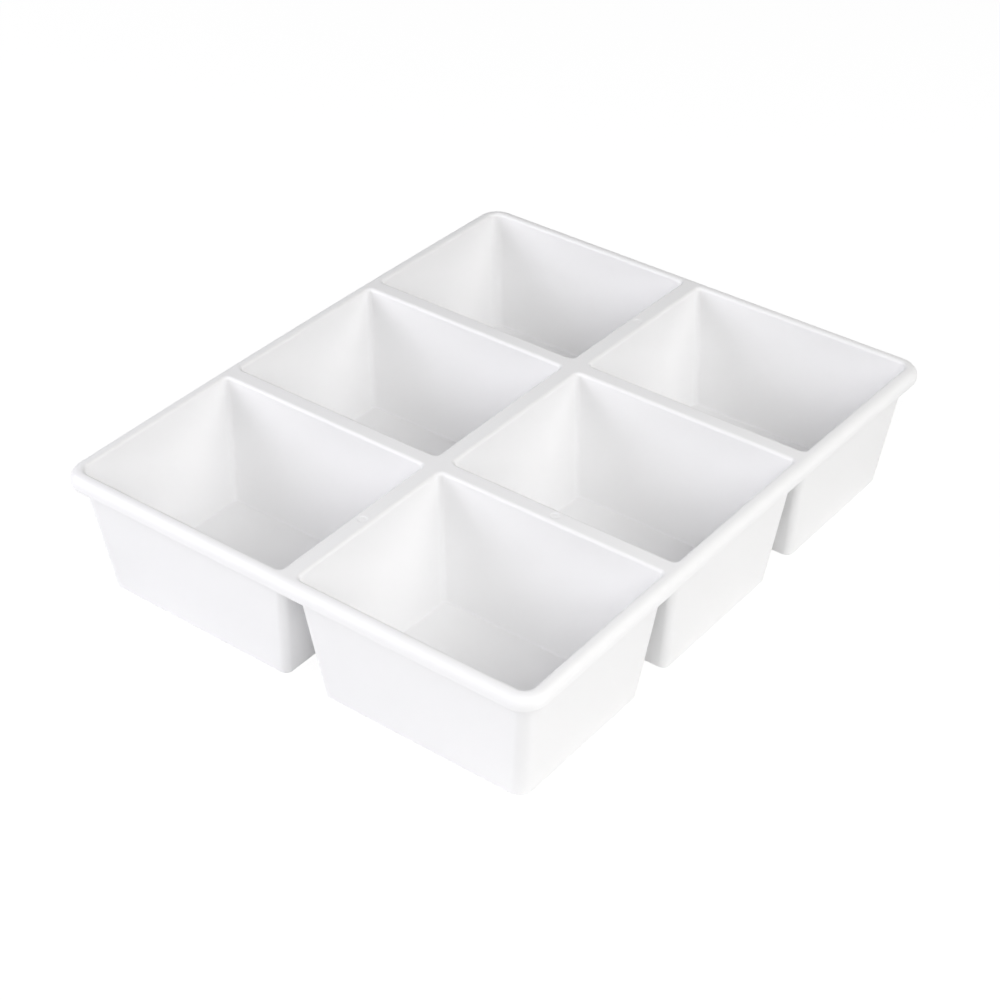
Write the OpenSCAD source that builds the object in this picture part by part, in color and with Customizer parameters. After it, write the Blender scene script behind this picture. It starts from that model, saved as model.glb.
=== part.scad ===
// Drawer organizer insert: six tapered bins that hang from one flat deck with a rolled rim.
// Origin at the middle of the underside, +X across the two columns, +Y to the rear, +Z up.

/* [Bins] */
// Width of a bin's mouth, left to right, between its inner walls
bin_w = 129.4; // [90:0.2:180]
// Depth of a bin's mouth, front to rear, between its inner walls
bin_d = 103; // [70:0.2:150]
// Height from the underside of the bins to the top of the deck
tray_h = 72; // [45:1:110]
// Lean of every bin wall from upright, in degrees
draft = 6.5; // [2:0.5:10]
// Thickness of walls, floors, deck and rim
wall = 1.8; // [1.2:0.1:2]
// Corner radius of a bin where it meets a web
inner_corner_r = 2.5; // [2.2:0.1:8]
// Corner radius of a bin at the four corners of the tray
outer_corner_r = 5.5; // [3:0.5:20]
// Radius along the outer bottom edge of a bin
foot_r = 1.4; // [0.8:0.1:3.8]
// Radius between a bin's floor and its walls
floor_r = 1; // [0.5:0.1:2]

/* [Deck] */
// Radius of the rounded lip round a bin's mouth
lip_r = 2.2; // [2.2:0.1:6]
// Flat width of the long web between the two columns
centre_flat = 6; // [2:0.2:20]
// Flat width of the short webs between the rows
cross_flat = 5.6; // [2:0.2:20]

/* [Rim] */
// Radius of the rolled outer edge
rim_r = 5; // [3:0.1:9]
// Height of the straight skirt below the rolled edge
rim_skirt = 3; // [0.5:0.1:10]

/* [Ejector marks] */
// Diameter of the shallow round marks on the webs
mark_d = 4.6; // [1:0.1:4.8]
// Depth of the marks
mark_deep = 0.3; // [0.1:0.05:0.8]

/* [Hidden] */

plastic = "whitesmoke";
left = -1;
right = 1;
front = -1;
middle = 0;
rear = 1;

// Straight steps in each quarter of a bin's corner, and in each quarter of a rounded edge
corner_steps = 6;
edge_steps = 5;
$fn = 64;

column_pitch = bin_w + 2 * lip_r + centre_flat;
row_pitch = bin_d + 2 * lip_r + cross_flat;
// Corner radius of the lip's outer edge beside a web
flare_r = inner_corner_r + lip_r;
// Half width and half depth of the deck, up to where the rim starts
deck_x = column_pitch / 2 + bin_w / 2 + lip_r;
deck_y = row_pitch + bin_d / 2 + lip_r;
deck_corner_r = outer_corner_r + lip_r;
// Radius under the lip and under the rim, after the wall has taken its thickness
under_lip_r = max(lip_r - wall, 0.2);
under_rim_r = max(rim_r - wall, 0.2);
// Angle through which a lip turns, from flat deck to leaning wall
lip_turn = 90 - draft;
// How far a bin reaches below its underside before it is cut flat
flat_cut = 1;
// Room beyond the part for cutting blocks
beyond = 5;

function arc(x, y, r, from, to) =
    [for (k = [0 : corner_steps])
        let (a = from + (to - from) * k / corner_steps)
        [x + r * cos(a), y + r * sin(a)]];

// One level of a bin: a rectangle with its own radius at each corner, anticlockwise from the rear right
function level(half_w, half_d, radii) =
    concat(
        arc(half_w - radii[0], half_d - radii[0], radii[0], 0, 90),
        arc(radii[1] - half_w, half_d - radii[1], radii[1], 90, 180),
        arc(radii[2] - half_w, radii[2] - half_d, radii[2], 180, 270),
        arc(half_w - radii[3], radii[3] - half_d, radii[3], 270, 360)
    );

// How far a leaning wall moves inwards over a drop
function lean(drop) = drop * tan(draft);

// The wall of a bin from its foot, up the outside, over the lip and down the inside to its floor.
// Each entry is [distance outside the mouth, height, change of corner radius].
function bin_section() =
    let (
        lip_z = tray_h - lip_r,
        // Where the lip's arc gives way to the straight wall, inside and outside
        in_s = lip_r * (1 - sin(lip_turn)),
        in_z = lip_z + lip_r * cos(lip_turn),
        out_s = lip_r - under_lip_r * sin(lip_turn),
        out_z = lip_z + under_lip_r * cos(lip_turn),
        // Centres of the foot's arc and the floor's arc, each set off squarely from its wall
        foot_s = out_s - lean(out_z - foot_r) - foot_r / cos(draft),
        floor_s = in_s - lean(in_z - wall - floor_r) - floor_r / cos(draft)
    )
    concat(
        [[foot_s, -flat_cut, out_s - foot_r]],
        [for (k = [0 : edge_steps])
            let (a = lip_turn * k / edge_steps)
            [foot_s + foot_r * sin(a), foot_r * (1 - cos(a)), out_s - foot_r * (1 - sin(a))]],
        [for (k = [0 : edge_steps])
            let (a = lip_turn * (1 - k / edge_steps), s = lip_r - under_lip_r * sin(a))
            [s, lip_z + under_lip_r * cos(a), s]],
        [for (k = [0 : edge_steps])
            let (a = lip_turn * k / edge_steps, s = lip_r * (1 - sin(a)))
            [s, lip_z + lip_r * cos(a), s]],
        [for (k = [0 : edge_steps])
            let (a = lip_turn * (1 - k / edge_steps))
            [floor_s + floor_r * sin(a), wall + floor_r * (1 - cos(a)), floor_r * (sin(a) - 1)]]
    );

// Faces that join each level of a bin to the next, and close both ends
function skin(levels, points) =
    concat(
        [[for (i = [0 : points - 1]) points - 1 - i]],
        [for (j = [0 : levels - 2], i = [0 : points - 1], half = [0, 1])
            let (a = j * points + i, b = j * points + (i + 1) % points)
            half == 0 ? [a, b, b + points] : [a, b + points, a + points]],
        [[for (i = [0 : points - 1]) (levels - 1) * points + i]]
    );

// A bin has the large radius only at the corner that is also a corner of the tray
function corner_r(column, row, side, end) =
    column == side && row == end ? outer_corner_r : inner_corner_r;

module bin(column, row) {
    radii = [
        corner_r(column, row, right, rear), corner_r(column, row, left, rear),
        corner_r(column, row, left, front), corner_r(column, row, right, front)
    ];
    section = bin_section();
    walls = [for (p = section, q = level(bin_w / 2 + p[0], bin_d / 2 + p[0], [for (r = radii) r + p[2]]))
        [q[0], q[1], p[1]]];
    points = 4 * (corner_steps + 1);
    translate([column * column_pitch / 2, row * row_pitch, 0])
        difference() {
            polyhedron(walls, skin(len(section), points));
            translate([-bin_w, -bin_d, -flat_cut - beyond])
                cube([2 * bin_w, 2 * bin_d, flat_cut + beyond]);
        }
}

// A strip of deck between two lips, which flares where their corners turn away from it
module web(flat, length) {
    half = flat / 2;
    end = length / 2;
    outline = concat(
        arc(half + flare_r, end - flare_r, flare_r, 90, 180),
        arc(half + flare_r, flare_r - end, flare_r, 180, 270),
        arc(-half - flare_r, flare_r - end, flare_r, 270, 360),
        arc(-half - flare_r, end - flare_r, flare_r, 0, 90)
    );
    translate([0, 0, tray_h - wall])
        linear_extrude(wall)
            polygon(outline);
}

module ejector_mark() {
    translate([0, 0, tray_h - mark_deep])
        cylinder(d = mark_d, h = mark_deep + beyond);
}

module cross_web(column, row, marked = false) {
    length = deck_x - centre_flat / 2;
    color(plastic)
        translate([column * (centre_flat + length) / 2, row * row_pitch / 2, 0])
            difference() {
                rotate(90)
                    web(cross_flat, length);
                if (marked)
                    ejector_mark();
            }
}

module centre_web() {
    color(plastic)
        difference() {
            web(centre_flat, 2 * deck_y);
            for (row = [front, rear])
                translate([0, row * row_pitch, 0])
                    ejector_mark();
        }
}

// The rim's section, from the deck's edge out over the rolled edge and down the skirt
module rim_section() {
    roll_z = tray_h - rim_r;
    intersection() {
        translate([0, roll_z])
            difference() {
                circle(rim_r);
                circle(under_rim_r);
            }
        translate([0, roll_z])
            square(rim_r);
    }
    translate([under_rim_r, roll_z - rim_skirt])
        square([rim_r - under_rim_r, rim_skirt]);
}

module rim_side(length) {
    translate([0, length / 2, 0])
        rotate([90, 0, 0])
            linear_extrude(length)
                rim_section();
}

module rim_corner() {
    rotate_extrude(angle = 90)
        translate([deck_corner_r, 0])
            rim_section();
}

module outer_rim() {
    straight_x = deck_x - deck_corner_r;
    straight_y = deck_y - deck_corner_r;
    color(plastic) {
        for (turn = [0, 180])
            rotate(turn) {
                translate([deck_x, 0, 0])
                    rim_side(2 * straight_y);
                translate([0, deck_y, 0])
                    rotate(90)
                        rim_side(2 * straight_x);
                translate([straight_x, straight_y, 0])
                    rim_corner();
                translate([-straight_x, straight_y, 0])
                    rotate(90)
                        rim_corner();
            }
    }
}

module cross_web_front_left() { cross_web(left, front); }
module cross_web_front_right() { cross_web(right, front, marked = true); }
module cross_web_rear_left() { cross_web(left, rear); }
module cross_web_rear_right() { cross_web(right, rear); }
module bin_front_left() { color(plastic) bin(left, front); }
module bin_front_right() { color(plastic) bin(right, front); }
module bin_middle_left() { color(plastic) bin(left, middle); }
module bin_middle_right() { color(plastic) bin(right, middle); }
module bin_rear_left() { color(plastic) bin(left, rear); }
module bin_rear_right() { color(plastic) bin(right, rear); }

outer_rim();
centre_web();
cross_web_front_left();
cross_web_front_right();
cross_web_rear_left();
cross_web_rear_right();
bin_front_left();
bin_front_right();
bin_middle_left();
bin_middle_right();
bin_rear_left();
bin_rear_right();
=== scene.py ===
"""White moulded drawer organizer insert, dressed for a studio picture.

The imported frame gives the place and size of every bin, web and rim. Each one is drawn again here as a
finely divided surface with its rounded edges, and gets one satin plastic finish.
"""

import logging
import math
from dataclasses import dataclass, field
from enum import Enum
from typing import Any

import bpy
import numpy as np
from mathutils import Matrix, Vector


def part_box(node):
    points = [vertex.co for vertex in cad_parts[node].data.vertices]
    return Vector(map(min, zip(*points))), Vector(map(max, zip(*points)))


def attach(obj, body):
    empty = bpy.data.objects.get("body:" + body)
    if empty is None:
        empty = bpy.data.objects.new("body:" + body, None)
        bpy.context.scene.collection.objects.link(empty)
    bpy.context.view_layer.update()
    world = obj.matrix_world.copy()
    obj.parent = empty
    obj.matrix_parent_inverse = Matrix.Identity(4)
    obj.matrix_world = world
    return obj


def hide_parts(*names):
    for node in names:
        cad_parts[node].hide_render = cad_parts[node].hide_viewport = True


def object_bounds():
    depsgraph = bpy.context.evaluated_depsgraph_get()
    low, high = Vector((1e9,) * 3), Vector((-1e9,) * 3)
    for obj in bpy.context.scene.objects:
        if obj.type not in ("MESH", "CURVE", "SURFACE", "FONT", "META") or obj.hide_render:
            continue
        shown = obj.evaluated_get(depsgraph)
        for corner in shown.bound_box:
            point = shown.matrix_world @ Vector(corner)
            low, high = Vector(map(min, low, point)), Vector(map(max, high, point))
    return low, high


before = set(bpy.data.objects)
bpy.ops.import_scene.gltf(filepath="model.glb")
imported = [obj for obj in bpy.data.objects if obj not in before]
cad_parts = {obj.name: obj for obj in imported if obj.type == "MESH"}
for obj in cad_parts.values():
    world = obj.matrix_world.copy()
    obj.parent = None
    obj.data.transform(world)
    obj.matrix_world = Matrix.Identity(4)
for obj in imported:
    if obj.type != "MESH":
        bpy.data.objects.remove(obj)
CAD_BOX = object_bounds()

LOG = logging.getLogger("drawer_insert")
MM = 0.001
BODY = "root"
WHITE = (1.0, 1.0, 1.0, 1.0)


class Column(Enum):
    """The two columns of bins, by their sign along X."""

    LEFT = -1
    RIGHT = 1


class Row(Enum):
    """The three rows of bins, by their place along Y."""

    FRONT = -1
    MIDDLE = 0
    REAR = 1


class Ends(Enum):
    """How a skin closes in the direction of its section."""

    CAPPED = "capped"
    LOOPED = "looped"


@dataclass(frozen=True)
class Moulding:
    """Sizes that all features of the moulding share, in metres and radians."""

    wall: float = 1.8 * MM
    lean: float = math.radians(6.5)
    lip_radius: float = 2.2 * MM
    web_corner: float = 2.5 * MM
    tray_corner: float = 5.5 * MM
    foot_radius: float = 1.4 * MM
    floor_radius: float = 1.0 * MM
    seam_flat: float = 0.2 * MM
    sag: float = 1.64 * MM
    sharp: float = math.radians(40)
    corner_steps: int = 16
    edge_steps: int = 12
    side_points: int = 13
    wall_rows: int = 14

    @property
    def turn(self) -> float:
        """Angle from the flat deck to the leaning wall."""
        return math.pi / 2 - self.lean


MOULD = Moulding()


def eased(count: int) -> np.ndarray:
    """Fractions from 0 to 1 that crowd towards both ends, half of one minus a cosine.

    Args:
        count: How many fractions.

    Returns:
        The fractions, both ends included.
    """
    return (1 - np.cos(np.linspace(0, math.pi, count))) / 2


def rounded_loops(half_w: np.ndarray, half_d: np.ndarray, radii: np.ndarray) -> np.ndarray:
    """Rounded rectangles, one for each row of a section.

    Each corner is a quarter circle about a point set in by its radius, and each side is a straight line
    from the end of one corner to the start of the next, with points that crowd towards its ends.

    Args:
        half_w: Half width of each rectangle.
        half_d: Half depth of each rectangle.
        radii: Four corner radii for each rectangle, anticlockwise from the rear right.

    Returns:
        Points in the plane, shaped (rows, points round, 2).
    """
    sign_x = np.array([1, -1, -1, 1])
    sign_y = np.array([1, 1, -1, -1])
    centre_x = sign_x * (half_w[:, None] - radii)
    centre_y = sign_y * (half_d[:, None] - radii)
    start = np.arange(4)[:, None] * math.pi / 2
    angle = start + np.linspace(0, math.pi / 2, MOULD.corner_steps + 1)[None, :]
    arcs = np.stack(
        [
            centre_x[..., None] + radii[..., None] * np.cos(angle),
            centre_y[..., None] + radii[..., None] * np.sin(angle),
        ],
        axis=-1,
    )
    leave = arcs[:, :, -1, :]
    arrive = np.roll(arcs[:, :, 0, :], -1, axis=1)
    along = eased(MOULD.side_points + 2)[1:-1][None, None, :, None]
    sides = leave[:, :, None, :] * (1 - along) + arrive[:, :, None, :] * along
    loops = np.concatenate([arcs, sides], axis=2)
    return loops.reshape(len(half_w), -1, 2)


def lifted(loops: np.ndarray, heights: np.ndarray) -> np.ndarray:
    """Gives each loop of a section its own height.

    Args:
        loops: Points in the plane, shaped (rows, points, 2).
        heights: One height for each row.

    Returns:
        Points in space, shaped (rows, points, 3).
    """
    z = np.broadcast_to(heights[:, None, None], loops.shape[:2] + (1,))
    return np.concatenate([loops, z], axis=2)


def settled(points: np.ndarray) -> np.ndarray:
    """Bows the moulding a little, as it cools.

    Each height shrinks by a share that grows with the square of the distance from the middle row, so the
    deck is lowest at its front and rear edges and the feet stay on the floor.

    Args:
        points: Vertices, shaped (count, 3).

    Returns:
        The vertices in their cooled places.
    """
    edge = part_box(Rim.node)[1]
    share = MOULD.sag / edge.z * (points[:, 1] / edge.y) ** 2
    return points * np.stack([np.ones_like(share), np.ones_like(share), 1 - share], axis=1)


def quads(rows: int, columns: int, wrap_rows: bool, wrap_columns: bool) -> np.ndarray:
    """Vertex numbers of the four-sided faces of a grid.

    Args:
        rows: Rows of points.
        columns: Points in a row.
        wrap_rows: Whether the last row joins the first.
        wrap_columns: Whether the last point of a row joins its first.

    Returns:
        Numbers shaped (faces, 4).
    """
    r = np.arange(rows if wrap_rows else rows - 1)[:, None]
    c = np.arange(columns if wrap_columns else columns - 1)[None, :]
    below = (r + 1) % rows
    beside = (c + 1) % columns
    corners = [r * columns + c, r * columns + beside, below * columns + beside, below * columns + c]
    return np.stack(np.broadcast_arrays(*corners), axis=-1).reshape(-1, 4)


def piece(
    name: str, points: np.ndarray, faces: list[list[int]], finish: bpy.types.Material
) -> bpy.types.Object:
    """Makes one piece of the moulding, facing outwards and smooth except at real edges.

    Args:
        name: The piece's name.
        points: Vertices, shaped (count, 3), in metres in the tray's own frame.
        faces: Vertex numbers of each face.
        finish: The material it gets.

    Returns:
        The new object, riding on the tray.
    """
    mesh = bpy.data.meshes.new(name)
    mesh.from_pydata(settled(points).tolist(), [], faces)
    mesh.validate()
    mesh.shade_smooth()
    mesh.set_sharp_from_angle(angle=MOULD.sharp)
    mesh.materials.append(finish)
    made = bpy.data.objects.new(name, mesh)
    bpy.context.scene.collection.objects.link(made)
    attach(made, BODY)
    return made


def skin(name: str, rows: np.ndarray, ends: Ends, finish: bpy.types.Material) -> bpy.types.Object:
    """Joins rows of points that run round a shape into one closed piece.

    Args:
        name: The piece's name.
        rows: Points shaped (rows, points round, 3).
        ends: Whether the first and last rows are capped or joined to each other.
        finish: The material it gets.

    Returns:
        The new object.
    """
    count, around = rows.shape[:2]
    faces = quads(count, around, ends is Ends.LOOPED, True).tolist()
    if ends is Ends.CAPPED:
        faces.append(list(range(around))[::-1])
        faces.append(list(range((count - 1) * around, count * around)))
    return piece(name, rows.reshape(-1, 3), faces, finish)


def slab(name: str, top: np.ndarray, bottom: np.ndarray, finish: bpy.types.Material) -> bpy.types.Object:
    """Closes two facing grids into one plate.

    Args:
        name: The piece's name.
        top: Upper points, shaped (rows, columns, 3).
        bottom: Lower points, of the same shape.
        finish: The material it gets.

    Returns:
        The new object.
    """
    rows, columns = top.shape[:2]
    number = np.arange(rows * columns).reshape(rows, columns)
    edge = np.concatenate([number[0, :-1], number[:-1, -1], number[-1, :0:-1], number[:0:-1, 0]])
    after = np.roll(edge, -1)
    lower = rows * columns
    sheet = quads(rows, columns, False, False)
    sides = np.stack([edge, after, after + lower, edge + lower], axis=1)
    faces = np.concatenate([sheet[:, ::-1], sheet + lower, sides])
    points = np.concatenate([top.reshape(-1, 3), bottom.reshape(-1, 3)])
    return piece(name, points, faces.tolist(), finish)


@dataclass(frozen=True)
class Wire:
    """A number on a shader socket, so that shader sums are written as Python sums."""

    shading: "Shading"
    socket: bpy.types.NodeSocket

    def _math(self, operation: str, first: Any, second: Any) -> "Wire":
        """Adds one Math node."""
        made = self.shading.node("ShaderNodeMath", {"operation": operation}, {0: first, 1: second})
        return self.shading.wire(made)

    def __add__(self, other: Any) -> "Wire":
        """This plus other."""
        return self._math("ADD", self, other)

    def __sub__(self, other: Any) -> "Wire":
        """This minus other."""
        return self._math("SUBTRACT", self, other)

    def __rsub__(self, other: Any) -> "Wire":
        """Other minus this."""
        return self._math("SUBTRACT", other, self)

    def __mul__(self, other: Any) -> "Wire":
        """This times other."""
        return self._math("MULTIPLY", self, other)

    __radd__ = __add__
    __rmul__ = __mul__

    def highest(self, other: Any) -> "Wire":
        """The larger of this and other."""
        return self._math("MAXIMUM", self, other)


class Shading:
    """One node tree, for a material or for the world."""

    def __init__(self, tree: bpy.types.NodeTree) -> None:
        """Starts from an empty tree."""
        self.tree = tree
        tree.nodes.clear()

    def node(
        self, kind: str, settings: dict[str, Any] | None = None, sockets: dict[Any, Any] | None = None
    ) -> bpy.types.Node:
        """Adds any node.

        Args:
            kind: The node's type.
            settings: Its properties, set first.
            sockets: Values or wires for its inputs, by name or number.

        Returns:
            The new node.
        """
        made = self.tree.nodes.new(kind)
        for name, value in (settings or {}).items():
            setattr(made, name, value)
        for name, value in (sockets or {}).items():
            if isinstance(value, Wire):
                self.tree.links.new(value.socket, made.inputs[name])
            else:
                made.inputs[name].default_value = value
        return made

    def wire(self, made: bpy.types.Node, output: int | str = 0) -> Wire:
        """One of a node's outputs, as a wire."""
        return Wire(self, made.outputs[output])

    def noise(self, place: Wire, scale: float, detail: float, stretch: float = 1.0) -> Wire:
        """Cloudy noise on object coordinates.

        Args:
            place: Object coordinates.
            scale: Clouds in a metre.
            detail: Finer layers of noise.
            stretch: How much longer the clouds are along X.

        Returns:
            A number from 0 to 1.
        """
        mapped = self.node("ShaderNodeMapping", {}, {"Vector": place, "Scale": (1 / stretch, 1, 1)})
        made = self.node(
            "ShaderNodeTexNoise", {}, {"Vector": self.wire(mapped), "Scale": scale, "Detail": detail}
        )
        return self.wire(made)

    def blend(self, share: Wire, first: tuple, second: tuple) -> Wire:
        """Mixes two colours by a share."""
        made = self.node("ShaderNodeMix", {"data_type": "RGBA"}, {0: share, 6: first, 7: second})
        return self.wire(made, 2)

    def output(self, shader: bpy.types.Node, kind: str = "ShaderNodeOutputMaterial") -> None:
        """Ends the tree with its output."""
        self.node(kind, {}, {"Surface": self.wire(shader)})


@dataclass(frozen=True)
class SatinPlastic:
    """White moulded plastic with a fine mould grain and a soft gloss."""

    name: str = "satin_white_plastic"
    pale: tuple = (0.950, 0.949, 0.952, 1.0)
    deep: tuple = (0.936, 0.935, 0.941, 1.0)
    gloss: float = 0.37
    gloss_range: float = 0.07
    gloss_grain: float = 0.04
    gloss_stretch: float = 3.0
    refraction: float = 1.49
    cloud_per_m: float = 16.0
    gloss_per_m: float = 70.0
    ripple_per_m: float = 110.0
    grain_per_m: float = 2400.0
    ripple_depth: float = 0.010 * MM
    grain_depth: float = 0.006 * MM
    bump_strength: float = 0.6

    def material(self) -> bpy.types.Material:
        """Builds the finish.

        The colour drifts between two whites, the roughness in smaller clouds, and the bump sums a slow
        ripple left by cooling and the fine grain of the mould.

        Returns:
            The new material.
        """
        made = bpy.data.materials.new(self.name)
        made.use_nodes = True
        shading = Shading(made.node_tree)
        place = shading.wire(shading.node("ShaderNodeTexCoord"), "Object")
        cloud = shading.noise(place, self.cloud_per_m, 3.0)
        patches = shading.noise(place, self.gloss_per_m, 4.0, self.gloss_stretch)
        ripple = shading.noise(place, self.ripple_per_m, 1.0)
        grain = shading.noise(place, self.grain_per_m, 2.0)
        height = ripple * self.ripple_depth + grain * self.grain_depth
        roughness = (patches - 0.5) * self.gloss_range + (grain - 0.5) * self.gloss_grain + self.gloss
        bump = shading.node(
            "ShaderNodeBump", {}, {"Strength": self.bump_strength, "Distance": 1.0, "Height": height}
        )
        plastic = shading.node(
            "ShaderNodeBsdfPrincipled",
            {},
            {
                "Base Color": shading.blend(cloud, self.deep, self.pale),
                "Roughness": roughness,
                "Normal": shading.wire(bump),
                "IOR": self.refraction,
            },
        )
        shading.output(plastic)
        return made


@dataclass
class Bin:
    """One tapered bin with its rounded lip, walls and floor."""

    row: Row
    column: Column
    support: float = 1.5 * MM

    @property
    def node(self) -> str:
        """The bin's CAD node."""
        return f"bin_{self.row.name.lower()}_{self.column.name.lower()}"

    def corner_radii(self) -> np.ndarray:
        """Inner corner radii, large only at a corner of the tray.

        Returns:
            Four radii, anticlockwise from the rear right.
        """
        places = [(1, 1), (-1, 1), (-1, -1), (1, -1)]
        mine = (self.column.value, self.row.value)
        return np.array([MOULD.tray_corner if p == mine else MOULD.web_corner for p in places])

    def section(self, height: float) -> np.ndarray:
        """The wall's section, from the middle of the underside to the middle of the floor.

        Arcs of the foot, lip and floor follow a sine and cosine of the angle that they turn through, and
        the walls between them are straight and lean inwards as they go down.

        Args:
            height: Height of the deck above the underside.

        Returns:
            Rows of distance outside the mouth, height, and change of the corner radius.
        """
        lip, wall = MOULD.lip_radius, MOULD.wall
        roll = lip - MOULD.seam_flat
        under = roll - wall
        centre_z = height - roll
        turning = np.linspace(0, MOULD.turn, MOULD.edge_steps + 1)
        sine, cosine = np.sin(turning), np.cos(turning)
        tangent = math.tan(MOULD.lean)

        lip_s, lip_z = roll - roll * sine, centre_z + roll * cosine
        under_s, under_z = roll - under * sine, centre_z + under * cosine
        foot, fillet = MOULD.foot_radius, MOULD.floor_radius
        foot_s = under_s[-1] - (under_z[-1] - foot) * tangent - foot / math.cos(MOULD.lean)
        floor_s = lip_s[-1] - (lip_z[-1] - wall - fillet) * tangent - fillet / math.cos(MOULD.lean)

        def stack(s: np.ndarray, z: np.ndarray, change: np.ndarray) -> np.ndarray:
            """Puts three columns side by side."""
            return np.stack(np.broadcast_arrays(s, z, change), axis=1)

        foot_arc = stack(foot_s + foot * sine, foot * (1 - cosine), under_s[-1] - foot * (1 - sine))
        under_arc = stack(under_s, under_z, under_s)[::-1]
        lip_arc = stack(lip_s, lip_z, lip_s)
        floor_arc = stack(floor_s + fillet * sine, wall + fillet * (1 - cosine), fillet * (sine - 1))[::-1]
        share = eased(MOULD.wall_rows + 2)[1:-1, None]
        outer_wall = foot_arc[-1] * (1 - share) + under_arc[0] * share
        inner_wall = lip_arc[-1] * (1 - share) + floor_arc[0] * share
        seam = np.array([[lip, height - wall, lip], [lip, height, lip]])
        underside = foot_arc[:1] - np.array([[self.support, 0, self.support]])
        floor = floor_arc[-1:] - np.array([[self.support, 0, self.support]])
        return np.concatenate(
            [underside, foot_arc, outer_wall, under_arc, seam, lip_arc, inner_wall, floor_arc, floor]
        )

    def build(self, finish: bpy.types.Material) -> bpy.types.Object:
        """Makes the bin in place of its CAD node.

        Args:
            finish: The plastic.

        Returns:
            The new object.
        """
        low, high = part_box(self.node)
        mouth_w = (high.x - low.x) / 2 - MOULD.lip_radius
        mouth_d = (high.y - low.y) / 2 - MOULD.lip_radius
        section = self.section(high.z)
        outside, heights, change = section.T
        radii = self.corner_radii()[None, :] + change[:, None]
        loops = rounded_loops(mouth_w + outside, mouth_d + outside, radii)
        loops += np.array([(low.x + high.x) / 2, (low.y + high.y) / 2])
        made = skin(self.node, lifted(loops, heights), Ends.CAPPED, finish)
        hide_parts(self.node)
        return made


@dataclass(frozen=True)
class EjectorMark:
    """The shallow round mark that an ejector pin leaves in the deck."""

    radius: float = 2.3 * MM
    depth: float = 0.26 * MM
    edge: float = 0.11 * MM
    crown: float = 0.10 * MM
    crown_narrow: float = 2.5
    reach: float = 1.3
    steepest: float = 40.0
    points: int = 45

    def rows(self) -> np.ndarray:
        """Distances from the mark's middle at which the deck needs points."""
        return np.linspace(-1, 1, self.points) * self.reach * self.radius

    def relief(self, distance: np.ndarray) -> np.ndarray:
        """Height of the deck's surface in and round the mark.

        A logistic step goes down at the mark's edge, and a bell curve raises its middle a little.

        Args:
            distance: Distances from the mark's middle.

        Returns:
            Heights above the deck, mostly below nought.
        """
        step = np.clip((distance - self.radius) / self.edge, -self.steepest, self.steepest)
        bell = np.exp(-((self.crown_narrow * distance / self.radius) ** 2))
        return self.crown * bell - self.depth / (1 + np.exp(step))


@dataclass
class Web:
    """A flat strip of deck between two rows or columns of bins."""

    node: str
    marks: tuple[float, ...] = ()
    mark: EjectorMark = EjectorMark()
    across_points: int = 37
    along_points: int = 21

    def along(self, length: float, flare: float) -> np.ndarray:
        """Places along the strip, from its middle, at which it has points.

        They follow the sine of an evenly growing angle in the flared ends, are even between these, and are
        close together at the marks.

        Args:
            length: Length of the strip.
            flare: Radius of its flared ends.

        Returns:
            The places, in rising order.
        """
        even = length / 2 - flare
        ends = even + flare * np.sin(np.linspace(0, math.pi / 2, MOULD.corner_steps + 1))
        middle = np.linspace(0, even, self.along_points)
        fine = [place + self.mark.rows() for place in self.marks]
        return np.unique(np.concatenate([ends, -ends, middle, -middle, *fine]).round(9))

    def half_width(self, along: np.ndarray, length: float, width: float, flare: float) -> np.ndarray:
        """Half width of the strip: even, and at each end flared by a quarter circle.

        Args:
            along: Places along the strip.
            length: Length of the strip.
            width: Width at the flared ends.
            flare: Radius of the flare.

        Returns:
            Half width at each place.
        """
        into = np.clip(np.abs(along) - (length / 2 - flare), 0, flare)
        return width / 2 - np.sqrt(flare**2 - into**2)

    def build(self, finish: bpy.types.Material) -> bpy.types.Object:
        """Makes the strip in place of its CAD node.

        Args:
            finish: The plastic.

        Returns:
            The new object.
        """
        low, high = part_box(self.node)
        middle, size = (low + high) / 2, high - low
        length, width = max(size.x, size.y), min(size.x, size.y)
        flare = MOULD.web_corner + MOULD.lip_radius
        along = self.along(length, flare)
        half = self.half_width(along, length, width, flare)
        across = half[:, None] * np.linspace(-1, 1, self.across_points)
        run = np.broadcast_to(along[:, None], across.shape)
        x, y = (run, across) if size.x > size.y else (-across, run)
        reliefs = [self.mark.relief(np.hypot(run - place, across)) for place in self.marks]
        relief = sum(reliefs, np.zeros(run.shape))
        top = np.stack([middle.x + x, middle.y + y, high.z + relief], axis=2)
        bottom = np.stack([middle.x + x, middle.y + y, np.full(run.shape, low.z)], axis=2)
        made = slab(self.node, top, bottom, finish)
        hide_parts(self.node)
        return made


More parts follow.
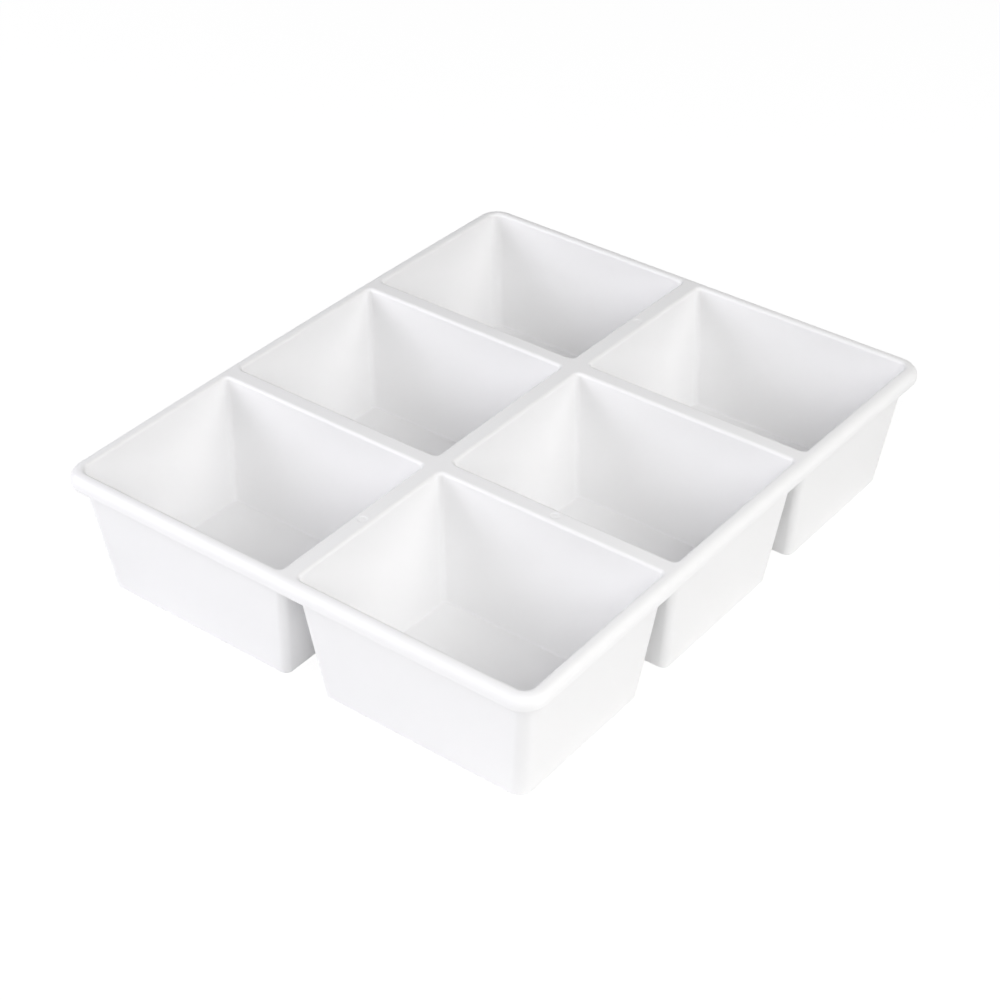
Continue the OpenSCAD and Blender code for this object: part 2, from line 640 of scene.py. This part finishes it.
@dataclass
class Rim:
    """The rolled edge all round the deck, hollow below."""

    node: str = "outer_rim"
    reach: float = 5.0 * MM
    outer_edge: float = 1.4 * MM
    inner_edge: float = 0.3 * MM
    roll_steps: int = 20

    def section(self, low: float, high: float) -> np.ndarray:
        """The rim's section as a closed loop.

        The roll is a quarter circle from the deck's edge to the skirt. The skirt's lower edge is two quarter
        circles, a large one outside and a small one inside, and the inside follows the roll at the thickness
        of the wall.

        Args:
            low: Height of the skirt's lower edge.
            high: Height of the deck.

        Returns:
            Rows of distance outside the deck's edge and height.
        """
        start = MOULD.seam_flat
        roll = self.reach - start
        inside = roll - MOULD.wall
        turning = np.linspace(0, math.pi / 2, self.roll_steps + 1)
        sine, cosine = np.sin(turning), np.cos(turning)
        outer = np.stack([start + roll * sine, high - roll + roll * cosine], axis=1)
        inner = np.stack([start + inside * sine, high - roll + inside * cosine], axis=1)
        large, small = self.outer_edge, self.inner_edge
        under_x, inner_x = self.reach - large, self.reach - MOULD.wall + small
        outer_edge = np.stack([under_x + large * cosine, low + large * (1 - sine)], axis=1)
        inner_edge = np.stack([inner_x - small * sine, low + small * (1 - cosine)], axis=1)
        seam = np.array([[0.0, high - MOULD.wall], [0.0, high]])
        return np.concatenate([seam, outer, outer_edge, inner_edge, inner[::-1]])[::-1]

    def build(self, finish: bpy.types.Material) -> bpy.types.Object:
        """Makes the rim in place of its CAD node.

        Args:
            finish: The plastic.

        Returns:
            The new object.
        """
        low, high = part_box(self.node)
        section = self.section(low.z, high.z)
        outside, heights = section.T
        corner = MOULD.tray_corner + MOULD.lip_radius
        radii = np.repeat(corner + outside[:, None], 4, axis=1)
        deck_w, deck_d = high.x - self.reach, high.y - self.reach
        loops = rounded_loops(deck_w + outside, deck_d + outside, radii)
        made = skin(self.node, lifted(loops, heights), Ends.LOOPED, finish)
        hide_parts(self.node)
        return made


@dataclass
class Insert:
    """The whole moulding."""

    rim: Rim = field(default_factory=Rim)
    pieces: list[bpy.types.Object] = field(default_factory=list)

    def webs(self) -> list[Web]:
        """The long web and the four short ones, with the marks that show.

        Returns:
            The webs, the long one first.
        """
        low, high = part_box(Bin(Row.REAR, Column.LEFT).node)
        bay = (low.y + high.y) / 2
        centre = Web("centre_web", marks=(-bay, bay))
        short = [
            Web(f"cross_web_{row.name.lower()}_{column.name.lower()}", marks=marks)
            for row, column, marks in (
                (Row.FRONT, Column.LEFT, ()),
                (Row.FRONT, Column.RIGHT, (0.0,)),
                (Row.REAR, Column.LEFT, ()),
                (Row.REAR, Column.RIGHT, ()),
            )
        ]
        return [centre, *short]

    def build(self, finish: bpy.types.Material) -> None:
        """Makes the rim, the webs and the bins.

        Args:
            finish: The plastic.
        """
        bins = [Bin(row, column) for row in Row for column in Column]
        self.pieces = [part.build(finish) for part in (self.rim, *self.webs(), *bins)]


@dataclass(frozen=True)
class SoftBox:
    """One large soft lamp, aimed at the middle of the deck."""

    name: str
    azimuth: float
    elevation: float
    distance: float
    width: float
    height: float
    watts: float
    tint: tuple = (1.0, 1.0, 1.0)

    def build(self, aim: Vector) -> None:
        """Hangs the lamp.

        Args:
            aim: The point that it lights.
        """
        turn, lift = math.radians(self.azimuth), math.radians(self.elevation)
        back = Vector((math.sin(turn) * math.cos(lift), -math.cos(turn) * math.cos(lift), math.sin(lift)))
        lamp = bpy.data.lights.new(self.name, "AREA")
        lamp.shape = "RECTANGLE"
        lamp.size, lamp.size_y = self.width, self.height
        lamp.energy = self.watts
        lamp.color = self.tint
        made = bpy.data.objects.new(self.name, lamp)
        made.location = aim + back * self.distance
        made.rotation_euler = back.to_track_quat("Z", "Y").to_euler()
        bpy.context.scene.collection.objects.link(made)


@dataclass(frozen=True)
class Studio:
    """White floor and soft light."""

    boxes: tuple[SoftBox, ...] = (
        SoftBox("left_box", -50.0, 24.0, 1.4, 1.3, 0.8, 12.4, (0.962, 0.955, 1.0)),
        SoftBox("right_box", 102.0, 40.0, 1.5, 1.4, 0.9, 14.0, (1.0, 0.993, 0.978)),
        SoftBox("front_box", 35.0, 34.0, 1.5, 1.2, 0.9, 9.5),
    )
    sky: float = 0.02
    floor_half: float = 6.0
    floor_bounce: tuple = (0.9, 0.9, 0.9, 1.0)
    floor_shadow: tuple = (0.13, 0.13, 0.13, 1.0)
    floor_white: float = 0.93

    def seen(self, shading: Shading) -> Wire:
        """Tells rays that show the background from rays that carry light.

        Args:
            shading: The tree that asks.

        Returns:
            One for rays from the camera, in gloss or through glass, and nought for others.
        """
        path = shading.node("ShaderNodeLightPath")
        camera = shading.wire(path, "Is Camera Ray")
        gloss = shading.wire(path, "Is Glossy Ray")
        through = shading.wire(path, "Is Transmission Ray")
        return camera.highest(gloss).highest(through)

    def floor(self) -> None:
        """Lays the floor, which is white where it is seen and still takes the tray's shadow."""
        half = self.floor_half
        mesh = bpy.data.meshes.new("floor")
        corners = [(-half, -half, 0), (half, -half, 0), (half, half, 0), (-half, half, 0)]
        mesh.from_pydata(corners, [], [(0, 1, 2, 3)])
        material = bpy.data.materials.new("floor_white")
        material.use_nodes = True
        shading = Shading(material.node_tree)
        bounce = shading.node("ShaderNodeBsdfDiffuse", {}, {"Color": self.floor_bounce})
        shadow = shading.node("ShaderNodeBsdfDiffuse", {}, {"Color": self.floor_shadow})
        glow = shading.node("ShaderNodeEmission", {}, {"Strength": self.floor_white})
        white = shading.node("ShaderNodeAddShader", {}, {0: shading.wire(shadow), 1: shading.wire(glow)})
        sides = {0: self.seen(shading), 1: shading.wire(bounce), 2: shading.wire(white)}
        mixed = shading.node("ShaderNodeMixShader", {}, sides)
        shading.output(mixed)
        mesh.materials.append(material)
        made = bpy.data.objects.new("floor", mesh)
        bpy.context.scene.collection.objects.link(made)

    def world(self) -> None:
        """Surrounds the floor with even light that looks white."""
        world = bpy.data.worlds.new("studio")
        world.use_nodes = True
        bpy.context.scene.world = world
        shading = Shading(world.node_tree)
        seen = self.seen(shading)
        strength = seen * (1 - self.sky) + self.sky
        light = shading.node("ShaderNodeBackground", {}, {"Color": WHITE, "Strength": strength})
        shading.output(light, "ShaderNodeOutputWorld")

    def build(self, aim: Vector) -> None:
        """Lights the tray.

        Args:
            aim: The middle of the deck.
        """
        self.floor()
        self.world()
        for box in self.boxes:
            box.build(aim)
        bpy.context.scene.view_settings.view_transform = "Standard"


@dataclass(frozen=True)
class PhotoCamera:
    """The photograph's viewpoint, fitted to the edges of the mouths and feet."""

    azimuth: float = 37.206
    elevation: float = 35.580
    roll: float = 0.332
    distance: float = 1051.7 * MM
    aim_x: float = 42.041 * MM
    aim_y: float = -62.368 * MM
    focal_px: float = 2227.9
    image_px: float = 1000.0
    sensor: float = 36.0

    def build(self, deck: float) -> None:
        """Sets the camera up.

        Args:
            deck: Height of the deck, on which the camera aims.
        """
        turn, lift, roll = (math.radians(a) for a in (self.azimuth, self.elevation, self.roll))
        back = Vector((math.sin(turn) * math.cos(lift), -math.cos(turn) * math.cos(lift), math.sin(lift)))
        level = Vector((math.cos(turn), math.sin(turn), 0.0))
        upright = back.cross(level)
        right = level * math.cos(roll) + upright * math.sin(roll)
        up = upright * math.cos(roll) - level * math.sin(roll)
        data = bpy.data.cameras.new("camera")
        data.sensor_width = self.sensor
        data.lens = self.focal_px / self.image_px * self.sensor
        made = bpy.data.objects.new("camera", data)
        turned = Matrix((right, up, back)).transposed().to_4x4()
        place = Vector((self.aim_x, self.aim_y, deck)) + back * self.distance
        made.matrix_world = Matrix.Translation(place) @ turned
        bpy.context.scene.collection.objects.link(made)
        bpy.context.scene.camera = made


def main() -> None:
    """Builds the insert, the studio and the camera."""
    logging.basicConfig(level=logging.INFO, format="%(name)s %(message)s")
    deck = CAD_BOX[1].z
    insert = Insert()
    insert.build(SatinPlastic().material())
    for made in insert.pieces:
        LOG.info("%s: %d points, %d faces", made.name, len(made.data.vertices), len(made.data.polygons))
    Studio().build(Vector((0.0, 0.0, deck)))
    PhotoCamera().build(deck)


if __name__ == "__main__":
    main()
